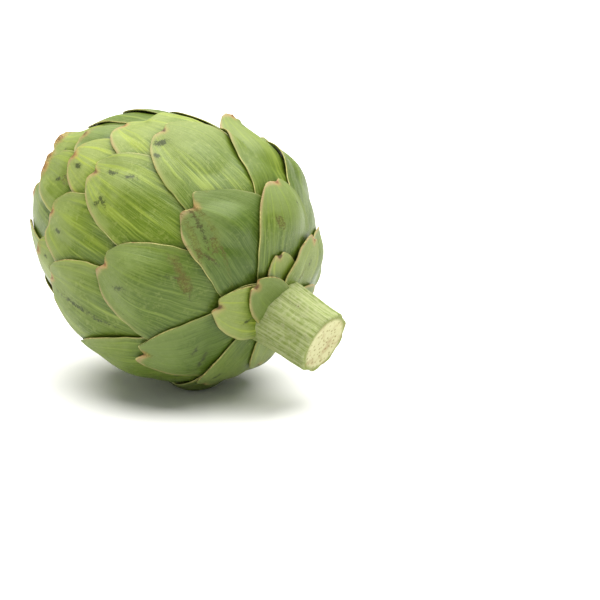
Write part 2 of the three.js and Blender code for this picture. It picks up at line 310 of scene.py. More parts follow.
def place_on_bract(bract, arc, turn):
    """The way back: down and across, of points of the head."""
    down = bract["arc"] - arc + 0 * turn
    across = (turn - leaning(bract, down)) / wrap_angle(bract, down, arc)
    for _ in range(WAY_BACK_ROUNDS):
        down = bract["arc"] - arc + tip_lobe(bract, down, across)
        across = (turn - leaning(bract, down)) / wrap_angle(bract, down, arc)
    return down, across


print(f"a full bract is {2 * BRACT_HALF_WIDTH} mm wide and {BRACT_LENGTH} mm long")

# %% [markdown]
# Draping works on a height map of the whole head. The bracts are laid from the innermost to the
# outermost. Each one would like to follow its own gentle slope, but it can't sink into what lies under
# it, so it takes the higher of the two, bridged smoothly over the edges below. Its margins are then
# pressed down towards the bract underneath, which leaves the thin dark line that real bracts have
# there.

# %% The height map
AZIMUTH_STEPS = 1200
ARC_CELL = 0.3
TURN_CELL = 2 * np.pi / AZIMUTH_STEPS
MAP_ARCS = np.arange(OUT_ARC[0], OUT_ARC[-1], ARC_CELL)
CORE_DEPTH = 4.7
NO_BRACT = 999.0
core_stand = -CORE_DEPTH * along(BRACT_SIZE, MAP_ARCS)
height_map = np.repeat(core_stand[:, None], AZIMUTH_STEPS, axis=1)
owner_map = np.full(height_map.shape, NO_BRACT)


def neighbours(field, cells, axis):
    """The field itself, then the field moved one cell, two cells and so on both ways along an axis."""
    yield field
    pad = [(0, 0), (0, 0)]
    pad[axis] = (cells, cells)
    wide = np.pad(field, pad, mode="edge")
    size = field.shape[axis]
    for step in range(1, cells + 1):
        yield np.take(wide, range(cells - step, cells - step + size), axis)
        yield np.take(wide, range(cells + step, cells + step + size), axis)


def blur(field, cells):
    for axis in (0, 1):
        field = sum(neighbours(field, cells[axis], axis)) / (2 * cells[axis] + 1)
    return field


def bridge(field, cells):
    """A smooth surface that touches the highest places of a field and never dips under it."""
    for axis in (0, 1):
        highest = field
        for moved in neighbours(field, cells[axis], axis):
            highest = np.maximum(highest, moved)
        field = highest
    return blur(field, cells)


print("height map of", height_map.shape, "cells")

# %% Lay every bract over the ones inside it
ROOT_SLOPE = 0.085
CROWN = 1.1
BULGE = 4
BULGE_REACH = 32
BULGE_FALL = 3
SINK = 0.9
LIFT_REACH = 16
STEP = 0.95
ROOT_STEP = 0.25
STEP_FADE = (32, 48)
PRESS = 0.6
PRESS_REACH = 5
BRIDGE_REACH = 2.4
SOFT_STEP = 0.35
WAVE = 0.22
DENT_LENGTH, DENTS_ACROSS = 8, 2.3
RIDGE_SHARE, RIDGES_ACROSS, RIDGE_BEND, BEND_LENGTH = 0.45, 6.5, 0.6, 11
KEEL_ROUNDING = 1.2
CROWN_LIMIT = 1.2
FREE_LIFT, FREE_CURL = 1.5, 0.4
WINDOW_BELOW, WINDOW_ABOVE = 3, 5
WINDOW_SLACK, WINDOW_CELLS = 1.15, 8
MIDDLE_DOWN, LEAST_RADIUS = 15, 8


def waves(bract, down, across):
    """Shallow dents and swellings, another set for each bract."""
    purposes = ("dent", "dent across", "ridge", "ridge bend")
    turns = [math.pi * draw(bract["index"], purpose) for purpose in purposes]
    dents = np.sin(down / DENT_LENGTH + turns[0]) * np.cos(DENTS_ACROSS * across + turns[1])
    bend = RIDGE_BEND * np.sin(down / BEND_LENGTH + turns[3])
    ridges = np.cos(RIDGES_ACROSS * across + turns[2] + bend)
    return WAVE * bract["size"] * (dents + RIDGE_SHARE * ridges)


def higher(a, b):
    """The higher of two surfaces, rounded where they cross."""
    return (a + b + np.sqrt((a - b) ** 2 + SOFT_STEP**2)) / 2


def edge_distance(bract, down, across):
    side = (1 - np.abs(across)) * half_width(bract, down)
    return np.minimum(side, np.maximum(down, 0))


def drape(bract):
    size = bract["size"]
    lowest_arc = bract["arc"] - blade_length(bract) - WINDOW_BELOW
    rows = np.nonzero((MAP_ARCS > lowest_arc) & (MAP_ARCS < bract["arc"] + WINDOW_ABOVE))[0]
    arcs = MAP_ARCS[rows][:, None]
    widest = np.max(wrap_angle(bract, np.maximum(0, bract["arc"] - arcs), arcs))
    wide_enough = math.ceil((WINDOW_SLACK * widest + abs(bract["lean"])) / TURN_CELL) + WINDOW_CELLS
    reach = min(AZIMUTH_STEPS // 2 - 1, wide_enough)
    middle = bract["azimuth"] / TURN_CELL
    columns = math.floor(middle) + np.arange(-reach, reach + 1)
    turns = ((columns - middle) * TURN_CELL)[None, :]
    window = np.ix_(rows, columns % AZIMUTH_STEPS)
    down, across = place_on_bract(bract, arcs, turns)
    radius = max(LEAST_RADIUS, float(np.interp(bract["arc"] - MIDDLE_DOWN * size, OUT_ARC, OUT_RADIUS)))
    cells = (round(BRIDGE_REACH / ARC_CELL), max(2, round(BRIDGE_REACH / radius / TURN_CELL)))
    under = bridge(height_map[window], cells)
    full = down / size
    fade = np.clip((STEP_FADE[1] - full) / (STEP_FADE[1] - STEP_FADE[0]), 0, 1)
    floor = under + ROOT_STEP + (STEP - ROOT_STEP) * fade
    near_tip = np.maximum(0, 1 - np.maximum(0, full) / LIFT_REACH) ** 2
    crown = CROWN * size * np.minimum(CROWN_LIMIT, np.abs(across)) ** 2
    free = bract["lift"] * near_tip - SINK - ROOT_SLOPE * down - crown
    swelling = np.sin(np.pi * np.clip(full / BULGE_REACH, 0, 1)) * np.maximum(0, 1 - across**2)
    free = free + BULGE * size**BULGE_FALL * swelling + waves(bract, down, across)
    ridge = np.sqrt((across * half_width(bract, down)) ** 2 + KEEL_ROUNDING**2)
    curl = curled(bract, down, across)
    free = free + curl - bract["keel"] * ridge
    press = PRESS * np.exp(-edge_distance(bract, down, across) / PRESS_REACH)
    press = press * (1 - np.clip(bract["lift"] / FREE_LIFT, 0, 1) * near_tip)
    press = press * (1 - np.clip(curl / FREE_CURL, 0, 1))
    wanted = free - press * np.maximum(0, free - floor)
    stand = higher(wanted, floor)
    inside = (np.abs(across) <= 1) & (down >= 0) & (down <= blade_length(bract))
    height_map[window] = np.where(inside, stand, height_map[window])
    owner_map[window] = np.where(inside, bract["order"], owner_map[window])
    bract.update(stand=stand, window=window, first_arc=arcs[0, 0], first_turn=turns[0, 0], cells=cells)


for bract in reversed(bracts):
    drape(bract)
print(f"highest point of the map: {height_map.max():.1f} mm over the outline")

# %% [markdown]
# Now each bract becomes a closed mesh: an outside, an inside, and a thin rounded rim. Rows and columns
# crowd towards the margins, where the form changes fastest. Numbers that the colours need later are
# stored on the points: how far down from the tip and how far across a point lies, its distance from the
# margin, how close it is to where another bract covers it, how dry the bract is, and how far it is from
# the bruises and scars that handling left. Each mark is a lens on one bract: bract, distance below the
# tip, distance across, half length, half width, and lean. Bracts that aren't listed get a small mark or
# none by a draw. The mesh settles a little under the map, which keeps it inside the box of the solid
# model.

# %% Rows and columns of a bract
BRUISES = [
    (17, 7.6, 3.2, 1.9, 0.8, 20),
    (17, 15.3, 5.5, 1.7, 0.7, 30),
    (17, 11.1, -7.7, 1.8, 0.7, -25),
    (17, 10.1, -9.9, 0.9, 0.7, 0),
    (14, 4.2, -5.2, 2.1, 1.1, 50),
    (14, 7.1, -10.9, 1.1, 0.8, 0),
    (7, 19.7, 3.6, 1.3, 0.7, 60),
    (7, 23.6, -2.4, 1.9, 0.7, 70),
    (7, 21.2, -6.6, 1.6, 0.8, 80),
    (20, 15.5, -2.4, 5.0, 0.35, 3),
    (20, 24.5, -2.0, 4.5, 0.35, -4),
    (9, 4.0, -4.6, 3.6, 0.3, -42),
    (9, 10.5, -10.0, 4.8, 0.3, -42),
    (9, 15.5, -16.4, 3.6, 0.4, 0),
    (9, 13.3, -9.1, 0.8, 0.5, 0),
    (12, 28.0, 13.0, 3.4, 0.4, -30),
    (12, 33.5, 7.8, 3.8, 0.4, -48),
    (12, 29.5, 9.5, 2.4, 0.35, 10),
    (12, 11.0, -4.0, 1.3, 0.5, 25),
    (25, 9.5, -4.0, 1.2, 0.5, 10),
    (30, 5.5, -3.0, 1.2, 0.8, 0),
]
SCARS = [
    (12, 24.3, 16.0, 1.7, 1.5, 0),
    (12, 28.5, 13.0, 3.3, 1.2, -40),
    (12, 33.3, 8.5, 3.4, 2.1, -48),
    (9, 7.5, -12.3, 6.0, 0.9, -44),
    (9, 8.0, -4.2, 7.6, 0.3, -30),
    (9, 15.5, -10.0, 2.8, 1.1, -60),
    (7, 1.5, 0.5, 1.4, 1.0, 0),
]
EDGE_STEPS = np.array([0, 0.12, 0.35, 0.75, 1.4, 2.4])
COLUMNS_PER_MM = 0.8
ROWS_PER_MM = 0.85
ROW_CROWDING = 1.35
RIM_THICKNESS = 0.5
FULL_THICKNESS = 1.1
THICKENING = 3
RIM_ROUNDING = 0.16
RIM_WIDTH = 0.35
FULL_RIM_WIDTH = 8
INSIDE_ROUNDING = 0.5
COVER_SHADE_REACH = 3.6
SETTLING = 0.3
CLOSEST_TO_AXIS = 0.2
LAST_CELL_ENDS = 1.001
VEIN_SPREAD = 27
DRY_FROM, DRY_REACH = 96, 40
FAR_FROM_MARKS = 6.0
MARK_DOWN, MARK_DOWN_SPREAD, MARK_ACROSS_SPREAD = 10, 7, 8
MARK_LENGTH, MARK_LENGTH_SPREAD, MARK_WIDTH, MARK_LEAN_SPREAD = 1.0, 0.7, 0.45, 60
SCARRED_ABOVE, SCAR_BELOW_MARK, SCAR_LENGTH, SCAR_WIDTH, SCAR_LEAN_SPREAD = 0.4, 5, 1.8, 0.9, 80


def grid_of(bract):
    size = bract["size"]
    body_rows = round(ROWS_PER_MM * blade_length(bract))
    tail = np.linspace(0, 1, body_rows)[1:] ** ROW_CROWDING
    left = blade_length(bract) / size - EDGE_STEPS[-1]
    down = np.concatenate([EDGE_STEPS, EDGE_STEPS[-1] + left * tail]) * size
    width = half_width(bract, down)[:, None]
    rim = -1 + EDGE_STEPS * np.minimum(1, width / FULL_RIM_WIDTH) / width
    columns = round(COLUMNS_PER_MM * 2 * BRACT_HALF_WIDTH * size)
    body = np.linspace(rim[:, -1], -rim[:, -1], columns + 2, axis=1)[:, 1:-1]
    across = np.concatenate([rim, body, -rim[:, ::-1]], axis=1)
    return np.repeat(down[:, None], across.shape[1], axis=1), across


def sample(field, bract, arc, turn):
    """A field of the bract's window at any arc and turn, between its cells."""
    row = np.clip((arc - bract["first_arc"]) / ARC_CELL, 0, field.shape[0] - LAST_CELL_ENDS)
    column = np.clip((turn - bract["first_turn"]) / TURN_CELL, 0, field.shape[1] - LAST_CELL_ENDS)
    r, c = row.astype(int), column.astype(int)
    fr, fc = row - r, column - c
    low = field[r, c] * (1 - fc) + field[r, c + 1] * fc
    high = field[r + 1, c] * (1 - fc) + field[r + 1, c + 1] * fc
    return low * (1 - fr) + high * fr


def over_head(arc, azimuth, stand):
    radius, height, out_radius, out_height = outline_at(arc)
    reach = np.maximum(CLOSEST_TO_AXIS, radius + stand * out_radius)
    up = height + stand * out_height + 0 * azimuth
    return np.stack([reach * np.cos(azimuth), reach * np.sin(azimuth), up], axis=-1)


def shell_faces(rows, columns):
    """Quads of a closed shell: the outside grid's points come first, then the inside grid's."""
    at = np.arange(2 * rows * columns).reshape(2, rows, columns)
    out, inn = at
    a, b, c, d = out[:-1, :-1], out[:-1, 1:], out[1:, 1:], out[1:, :-1]
    quads = [np.stack([a, d, c, b], -1)]
    a, b, c, d = inn[:-1, :-1], inn[:-1, 1:], inn[1:, 1:], inn[1:, :-1]
    quads.append(np.stack([a, b, c, d], -1))
    quads.append(np.stack([out[:-1, 0], inn[:-1, 0], inn[1:, 0], out[1:, 0]], -1))
    quads.append(np.stack([out[1:, -1], inn[1:, -1], inn[:-1, -1], out[:-1, -1]], -1))
    quads.append(np.stack([out[0, 1:], inn[0, 1:], inn[0, :-1], out[0, :-1]], -1))
    quads.append(np.stack([out[-1, :-1], inn[-1, :-1], inn[-1, 1:], out[-1, 1:]], -1))
    return np.concatenate([quad.reshape(-1, 4) for quad in quads])


marked = {mark[0] for mark in BRUISES + SCARS}
for bract in bracts:
    index = bract["index"]
    if index not in marked and draw(index, "marked") > 0:
        mark_down = MARK_DOWN + MARK_DOWN_SPREAD * draw(index, "mark down")
        mark_across = MARK_ACROSS_SPREAD * draw(index, "mark across")
        length = MARK_LENGTH + MARK_LENGTH_SPREAD * draw(index, "mark length")
        lean = MARK_LEAN_SPREAD * draw(index, "mark lean")
        BRUISES.append((index, mark_down, mark_across, length, MARK_WIDTH, lean))
        if draw(index, "scarred") > SCARRED_ABOVE:
            lean = SCAR_LEAN_SPREAD * draw(index, "scar lean")
            SCARS.append((index, mark_down + SCAR_BELOW_MARK, -mark_across, SCAR_LENGTH, SCAR_WIDTH, lean))


def mark_distance(marks, bract, down, across):
    """Distance in millimetres to the nearest mark's outline, below zero inside it."""
    nearest = np.full(down.shape, FAR_FROM_MARKS)
    for index, mark_down, mark_across, length, width, lean in marks:
        if index != bract["index"]:
            continue
        x, y = across - mark_across, down - mark_down
        c, s = math.cos(math.radians(lean)), math.sin(math.radians(lean))
        reach = np.hypot((x * s + y * c) / length, (x * c - y * s) / width)
        nearest = np.minimum(nearest, (reach - 1) * width)
    return nearest


def bract_mesh(bract):
    """Points, quads and point values of one bract."""
    size = bract["size"]
    down, across = grid_of(bract)
    arc, turn = place_on_head(bract, down, across)
    edge = edge_distance(bract, down, across)
    stand = sample(bract["stand"], bract, arc, turn)
    # how near each point lies to a covering bract, where the skin gets painted shade
    covered = (owner_map[bract["window"]] < bract["order"]).astype(float)
    reach = [max(2, round(cells * COVER_SHADE_REACH / BRIDGE_REACH)) for cells in bract["cells"]]
    cover_shade = sample(blur(blur(covered, reach), reach), bract, arc, turn)
    rounding = RIM_ROUNDING * np.clip(1 - edge / RIM_WIDTH, 0, 1) ** 2
    thick = RIM_THICKNESS + (FULL_THICKNESS - RIM_THICKNESS) * (1 - np.exp(-edge / THICKENING))
    azimuth = bract["azimuth"] + turn
    outside = over_head(arc, azimuth, stand - rounding - SETTLING)
    inside = over_head(arc, azimuth, stand - thick + INSIDE_ROUNDING * rounding - SETTLING)
    width = half_width(bract, down)
    one_side = {
        "down": down,
        "across": across * width,
        "edge": edge,
        "cover_shade": cover_shade,
        "vein": across * VEIN_SPREAD * size,
        "seed": np.full(down.shape, 0.5 + 0.5 * draw(bract["index"], "seed")),
        "warm": np.full(down.shape, bract["warm"]),
        "dryness": np.full(down.shape, np.clip((bract["arc"] - DRY_FROM) / DRY_REACH, 0, 1)),
        "bruise": mark_distance(BRUISES, bract, down, across * width),
        "scar": mark_distance(SCARS, bract, down, across * width),
    }
    values = {name: np.concatenate([value.ravel(), value.ravel()]) for name, value in one_side.items()}
    values["hidden_side"] = np.repeat([0.0, 1.0], down.size)
    points = np.concatenate([outside.reshape(-1, 3), inside.reshape(-1, 3)])
    return points, shell_faces(*down.shape), values


print("the largest bract has", 2 * grid_of(max(bracts, key=lambda bract: bract["size"]))[0].size, "points")

# %% [markdown]
# The head rests on a few bracts, and their soft outsides are pressed flat there. Heights just over the
# floor are squeezed together rather than cut off, so that layers keep their order.

# %% Pieces of the head
PRESSED_DEPTH = 0.6
TIERS = {
    "bracts_basal": (-9, 9),
    "bracts_outer": (9, 21),
    "bracts_middle": (21, 36),
    "bracts_inner": (36, 999),
}


def press_on_floor(points):
    z = points[:, 2] / MM
    squeezed = PRESSED_DEPTH * np.exp(np.minimum(0, z / PRESSED_DEPTH - 1))
    points[:, 2] = np.where(z < PRESSED_DEPTH, squeezed, z) * MM
    return points


def mesh_piece(name, points, faces, values):
    """An object from arrays of points in metres, quads, and named values for each point."""
    mesh = bpy.data.meshes.new(name)
    mesh.vertices.add(len(points))
    mesh.vertices.foreach_set("co", np.asarray(points, np.float32).ravel())
    mesh.loops.add(faces.size)
    mesh.loops.foreach_set("vertex_index", faces.astype(np.int32).ravel())
    mesh.polygons.add(len(faces))
    mesh.polygons.foreach_set("loop_start", np.arange(0, faces.size, faces.shape[1], dtype=np.int32))
    mesh.polygons.foreach_set("loop_total", np.full(len(faces), faces.shape[1], np.int32))
    mesh.polygons.foreach_set("use_smooth", np.ones(len(faces), bool))
    for value_name, value in values.items():
        attribute = mesh.attributes.new(value_name, "FLOAT", "POINT")
        attribute.data.foreach_set("value", value.astype(np.float32))
    mesh.update()
    mesh.validate()
    piece = bpy.data.objects.new(name, mesh)
    bpy.context.scene.collection.objects.link(piece)
    return piece


head_pieces = []
for name, (first, last) in TIERS.items():
    parts = [bract_mesh(bract) for bract in bracts if first <= bract["index"] < last]
    starts = np.cumsum([0] + [len(points) for points, _, _ in parts[:-1]])
    points = press_on_floor(to_scene(np.concatenate([points for points, _, _ in parts])))
    faces = np.concatenate([faces + start for (_, faces, _), start in zip(parts, starts)])
    values = {key: np.concatenate([value[key] for _, _, value in parts]) for key in parts[0][2]}
    head_pieces.append(mesh_piece(name, points, faces, values))
    print(name, len(parts), "bracts", 2 * len(faces), "triangles")

# %% [markdown]
# Under the bracts lies the heart of the bud. Only a speck of it shows, between two bracts near the apex, so a
# plain turned form is enough. It is pinched shut at both ends. Its colour is a dark green painted as shade,
# so that any gap between bracts reads as shadow.

# %% The heart
HEART_DEPTH = 5.4
HEART_RINGS = 60
HEART_SIDES = 72
HEART_INSET = 2
HEART_PINCH = 0.02


def turned_form(arcs, stands, sides):
    """Points and quads of a closed form turned about the growth axis."""
    azimuth = np.linspace(0, 2 * np.pi, sides, endpoint=False)
    rings = over_head(arcs[:, None], azimuth[None, :], stands[:, None])
    at = np.arange(rings.shape[0] * sides).reshape(rings.shape[0], sides)
    after = np.roll(at, -1, axis=1)
    return rings, np.stack([at[:-1], after[:-1], after[1:], at[1:]], -1).reshape(-1, 4)


heart_arcs = np.linspace(OUT_ARC[0] + HEART_INSET, OUT_ARC[-1] - HEART_INSET, HEART_RINGS)
heart_stands = -HEART_DEPTH * along(BRACT_SIZE, heart_arcs)
rings, faces = turned_form(heart_arcs, heart_stands, HEART_SIDES)
rings[0, :, :2] *= HEART_PINCH
rings[-1, :, :2] *= HEART_PINCH
heart = mesh_piece("heart", to_scene(rings.reshape(-1, 3)), faces, {})
print("heart", 2 * len(faces), "triangles")

# %% [markdown]
# The stem is a ribbed stub with a flat cut. Its skin has soft lengthwise ribs, and the cut face shows a
# firm green ring round a paler pith that has sunk a little as it dried.

# %% The stem
STEM_FLARE = 1.6
STEM_LENGTH = 24
STEM_RIBS = 9
STEM_RIB_HEIGHT = 0.45
STEM_RINGS = 48
STEM_SIDES = 144
CUT_RINGS = 22
CUT_MIDDLE = 0.2
CUT_SINK = 0.7
CUT_ROUNDING = 0.35
CUT_ROUNDING_FROM = 0.985
SKIN_INSET = 0.15
SKIN_UNEVENNESS = 0.2
FINE_RIBS, FINE_RIB_HEIGHT, FINE_RIB_SWAY, FINE_RIB_WINDING = 23, 0.12, 2, 5
BROAD_WAVES, BROAD_WAVE_HEIGHT, BROAD_WAVE_WINDING = 3, 0.1, 9
PITH_SHARE, PITH_POWER, PITH_TILT = 0.8, 4, 0.25

turn = np.linspace(0, 2 * np.pi, STEM_SIDES, endpoint=False)[None, :]
share = np.linspace(0, 1, STEM_RINGS)[:, None]
ribs = STEM_RIB_HEIGHT * np.cos(STEM_RIBS * turn)
sway = FINE_RIB_SWAY * np.sin(FINE_RIB_WINDING * share)
fine_ribs = FINE_RIB_HEIGHT * np.cos(FINE_RIBS * turn + sway)
ribs = ribs + fine_ribs + BROAD_WAVE_HEIGHT * np.sin(BROAD_WAVES * turn + BROAD_WAVE_WINDING * share)
side_radius = STEM_RADIUS - SKIN_INSET - SKIN_UNEVENNESS + STEM_FLARE * (1 - share) ** 2 + ribs
near_cut = np.clip((share - CUT_ROUNDING_FROM) / (1 - CUT_ROUNDING_FROM), 0, 1)
side_radius = side_radius - CUT_ROUNDING * near_cut
side_height = STEM_TOP - (STEM_LENGTH + STEM_SOCKET) * share + 0 * turn
inward = (1 - np.arange(1, CUT_RINGS + 1) / (CUT_RINGS + CUT_MIDDLE))[:, None]
face_radius = side_radius[-1:] * inward
pith = np.clip(1 - (inward / PITH_SHARE) ** PITH_POWER, 0, 1)
face_height = side_height[-1:] + CUT_SINK * pith * (1 + PITH_TILT * np.sin(2 * turn + 1) * inward)
stem_radius = np.concatenate([side_radius, face_radius])
stem_height = np.concatenate([side_height, face_height])
points = np.stack([stem_radius * np.cos(turn), stem_radius * np.sin(turn), stem_height], -1)
at = np.arange(stem_radius.size).reshape(stem_radius.shape)
after = np.roll(at, -1, axis=1)
faces = np.stack([at[:-1], at[1:], after[1:], after[:-1]], -1).reshape(-1, 4)
stem_values = {
    "from_cut": (STEM_LENGTH + STEM_SOCKET) * (1 - np.concatenate([share + 0 * turn, 1 + 0 * face_radius])),
    "round_stem": np.repeat(turn * STEM_RADIUS, len(stem_radius), axis=0),
    "from_axis": stem_radius,
    "cut_face": np.concatenate([0 * side_radius, 1 + 0 * face_radius]),
}
stem_values = {name: value.ravel() for name, value in stem_values.items()}
stem = mesh_piece("stem_stub", to_scene(points.reshape(-1, 3)), faces, stem_values)
print("stem", 2 * len(faces), "triangles")

# %% [markdown]
# Shader maths reads best as plain arithmetic. This small class wraps one output of a node, so that a
# sum of two of them adds the Math node that works it out, and one method makes every other kind of
# node.


# %% Arithmetic on node sockets
class Wire:
    """One output of a node in a material's tree."""

    def __init__(self, tree, socket=None):
        self.tree = tree
        self.socket = socket

    def node(self, kind, settings=None, inputs=None, output=0):
        made = self.tree.nodes.new(kind)
        for name, value in (settings or {}).items():
            setattr(made, name, value)
        for name, value in (inputs or {}).items():
            if isinstance(value, Wire):
                self.tree.links.new(value.socket, made.inputs[name])
            else:
                made.inputs[name].default_value = value
        return Wire(self.tree, made.outputs[output])

    def math(self, operation, *values):
        return self.node("ShaderNodeMath", {"operation": operation}, dict(enumerate(values)))

    def __add__(self, other):
        return self.math("ADD", self, other)

    def __sub__(self, other):
        return self.math("SUBTRACT", self, other)

    def __rsub__(self, other):
        return self.math("SUBTRACT", other, self)

    def __mul__(self, other):
        return self.math("MULTIPLY", self, other)

    def __pow__(self, other):
        return self.math("POWER", self, other)

    __radd__ = __add__
    __rmul__ = __mul__

    def at_most(self, other):
        return self.math("MINIMUM", self, other)

    def at_least(self, other):
        return self.math("MAXIMUM", self, other)

    def size(self):
        return self.math("ABSOLUTE", self)

    def step(self, low, high):
        """0 below low and 1 above high, with a soft change between; high may be the smaller one."""
        if low > high:
            return 1 - self.step(high, low)
        inputs = {"Value": self, "From Min": low, "From Max": high}
        return self.node("ShaderNodeMapRange", {"interpolation_type": "SMOOTHSTEP"}, inputs)

    def value(self, name):
        return self.node("ShaderNodeAttribute", {"attribute_name": name}, output="Fac")

    def place(self, x, y, z):
        return self.node("ShaderNodeCombineXYZ", None, {"X": x, "Y": y, "Z": z})

    def noise(self, place, scale, detail=3, roughness=0.55):
        inputs = {"Vector": place, "Scale": scale, "Detail": detail, "Roughness": roughness}
        return self.node("ShaderNodeTexNoise", {"noise_dimensions": "3D"}, inputs, "Fac")

    def mix(self, factor, first, second):
        """Colours, or wires that carry one, mixed by a factor."""
        inputs = {0: factor, 6: first, 7: second}
        return self.node("ShaderNodeMix", {"data_type": "RGBA"}, inputs, 2)


LIGHT_LEVEL = 1.36


def paint(red, green, blue):
    """A screen colour from 0 to 255 as the linear colour that shows it under this scene's strong light."""
    linear = [((v / 255 + 0.055) / 1.055) ** 2.4 if v > 10 else v / 255 / 12.92 for v in (red, green, blue)]
    return (*[value / LIGHT_LEVEL for value in linear], 1)


def new_material(name, **constants):
    """A material, the start of its tree, and its main shader with the sockets that don't vary."""
    material = bpy.data.materials.new(name)
    material.use_nodes = True
    shader = material.node_tree.nodes["Principled BSDF"]
    for socket, value in constants.items():
        shader.inputs[socket.replace("_", " ")].default_value = value
    return material, Wire(material.node_tree), shader


def feed(wire, shader, socket):
    wire.tree.links.new(wire.socket, shader.inputs[socket])


print("sockets can now be added, multiplied and mixed")

# %% [markdown]
# A bract is vivid yellow-green lower down and dusty grey-green near its tip, where a thin wax bloom lies on
# the skin. Near the edge of a bract that covers it, painted shade turns the green deeper and darker and thins
# the bloom. Pale veins run from root to tip and close up at the tip, as the margins do. The margin is a thin
# dry line with a warm band beside it near the tip, and the tip has a small brown callus. Near the apex the
# tips have died back and are brown. Handling leaves dark bruises and brown scars. All of these follow the
# numbers stored on the points, so they stay put on the bract from any side.

# %% The bracts' skin
skin, wire, shader = new_material("bract_skin", IOR=1.42, Specular_IOR_Level=0.4)
down, across, edge = wire.value("down"), wire.value("across"), wire.value("edge")
cover_shade, seed, warm, vein = wire.value("cover_shade"), wire.value("seed"), wire.value("warm"), wire.value("vein")
dryness = wire.value("dryness")
own = seed * 61
flat = wire.place(across * 0.1, down * 0.1, own)
clouds = wire.noise(flat, 1.1, 4)
mottle = wire.noise(flat, 6.0, 4, 0.6)
grain = wire.noise(flat, 19.0, 3, 0.6)
broad_fibres = wire.noise(wire.place(vein * 0.32, down * 0.022, own), 1.0, 3, 0.55)
fibres = wire.noise(wire.place(vein * 1.15, down * 0.04, own), 1.0, 3, 0.6)
fine_fibres = wire.noise(wire.place(vein * 3.4, down * 0.09, own), 1.0, 2, 0.6)

vivid = wire.mix(warm, paint(54, 80, 4), paint(98, 124, 4))
body = wire.mix(warm, paint(76, 102, 26), paint(124, 144, 34))
dusty = wire.mix(warm, paint(106, 127, 62), paint(154, 168, 92))
depth_and_shade = (down + 22 * (clouds - 0.5) + 12 * (broad_fibres - 0.5)).step(9, 25) * 0.65
# painted shade: the green turns deeper and more vivid near the edge of a covering bract
depth_and_shade = depth_and_shade + 0.45 * cover_shade.step(0.02, 0.5)
green = wire.mix(depth_and_shade.at_most(1), body, vivid)
bloom_reach = (down + 30 * (clouds - 0.5) + 13 * (broad_fibres - 0.5) - 3 * edge.step(5, 0)).step(24, 3)
# painted shade too: the lighter bloom thins near a covering bract
bloom = bloom_reach * (1 - 0.9 * cover_shade.step(0.03, 0.5)) * (0.45 + 0.9 * mottle)
green = wire.mix(bloom.at_most(1), green, dusty)
sunny = broad_fibres.step(0.52, 0.68) * (0.2 + 0.55 * warm)
green = wire.mix(sunny, green, wire.mix(warm, paint(122, 148, 66), paint(178, 194, 64)))
veins = (0.55 * fibres + 0.45 * fine_fibres).step(0.42, 0.66)
veins_show = 0.35 + 0.65 * (down + 14 * (clouds - 0.5)).step(4, 20)
green = wire.mix(0.26 * veins * veins_show, green, wire.mix(warm, paint(144, 168, 92), paint(190, 204, 98)))
grooves = (0.55 * fibres + 0.45 * fine_fibres).step(0.5, 0.34)
green = wire.mix(0.26 * grooves * veins_show, green, paint(64, 88, 24))
green = wire.mix(0.34 * grain.step(0.56, 0.7) * mottle.step(0.42, 0.58), green, paint(76, 92, 38))
faded = 0.35 * mottle.step(0.5, 0.66) * clouds.step(0.4, 0.6)
green = wire.mix(faded, green, wire.mix(warm, dusty, paint(170, 180, 92)))
# painted shade: dark green close under the edge of a covering bract
green = wire.mix(0.5 * cover_shade.step(0.25, 0.9), green, paint(72, 84, 10))

near_tip = down.step(24, 1)
left_side = across.step(1.5, -1.5)
warm_band = (edge + 1.6 * (mottle - 0.5)).step(2.4, 0.2) * (0.08 + 0.5 * near_tip * left_side)
green = wire.mix(warm_band, green, paint(186, 172, 116))
rosy = (edge + 2.2 * (clouds - 0.45)).step(1.8, 0.2) * near_tip * left_side * seed.step(0.15, 0.7)
green = wire.mix(0.4 * rosy, green, paint(186, 138, 110))
dry_edge = (edge + 0.4 * (mottle - 0.5)).step(0.42, 0.14)
browned = near_tip * wire.noise(flat, 9.0, 2).step(0.35, 0.65)
dry = wire.mix(browned, paint(202, 196, 118), paint(142, 98, 58))
green = wire.mix((0.25 + 0.75 * clouds.step(0.36, 0.62)) * dry_edge, green, dry)
callus = (down * down * 0.7 + across * across) ** 0.5 + 1.7 * (mottle - 0.5) + 0.9 * (grain - 0.5)
callus = callus - 0.5 * dryness
green = wire.mix(callus.step(2.9, 0.8) * (0.25 + 0.5 * seed), green, paint(190, 150, 92))
callus_brown = wire.mix(seed.step(0.3, 0.7), paint(84, 56, 26), paint(134, 92, 50))
green = wire.mix(callus.step(1.5, 0.5) * 0.9, green, callus_brown)
dead_tip = (down + 3.4 * (mottle - 0.5) + 3 * (grain - 0.5) + 2.2 * clouds).step(4.2, 1.2) * dryness
dead_brown = wire.mix(grain.step(0.42, 0.58), paint(196, 160, 92), paint(118, 82, 40))
green = wire.mix(0.7 * dead_tip, green, dead_brown)

ragged = 2.6 * (mottle - 0.5) + 2.4 * (grain - 0.5)
bruise = (wire.value("bruise") + ragged).step(0.5, -0.25)
halo = (wire.value("bruise") + ragged).step(1.5, -0.2)
green = wire.mix(0.3 * halo, green, paint(92, 106, 48))
bruise_colour = wire.mix(wire.value("scar").step(3.5, 0.5), paint(48, 58, 22), paint(86, 66, 24))
green = wire.mix(0.8 * bruise, green, bruise_colour)
scar = wire.value("scar") + 1.3 * ragged
stain = scar.step(1.6, -0.8) * (0.1 + 0.5 * mottle)
green = wire.mix(stain, green, paint(128, 134, 56))
crack = (scar - 0.1).size().step(0.55, 0.1) * clouds.step(0.36, 0.6)
crust = scar.step(0.2, -0.6) * grain.step(0.44, 0.6)
green = wire.mix(0.8 * crack.at_least(crust), green, paint(88, 80, 22))
specks = wire.noise(wire.place(across * 0.16, down * 0.09, own + 7), 2.6, 3, 0.7).step(0.7, 0.76)
green = wire.mix(0.7 * specks, green, paint(58, 66, 24))
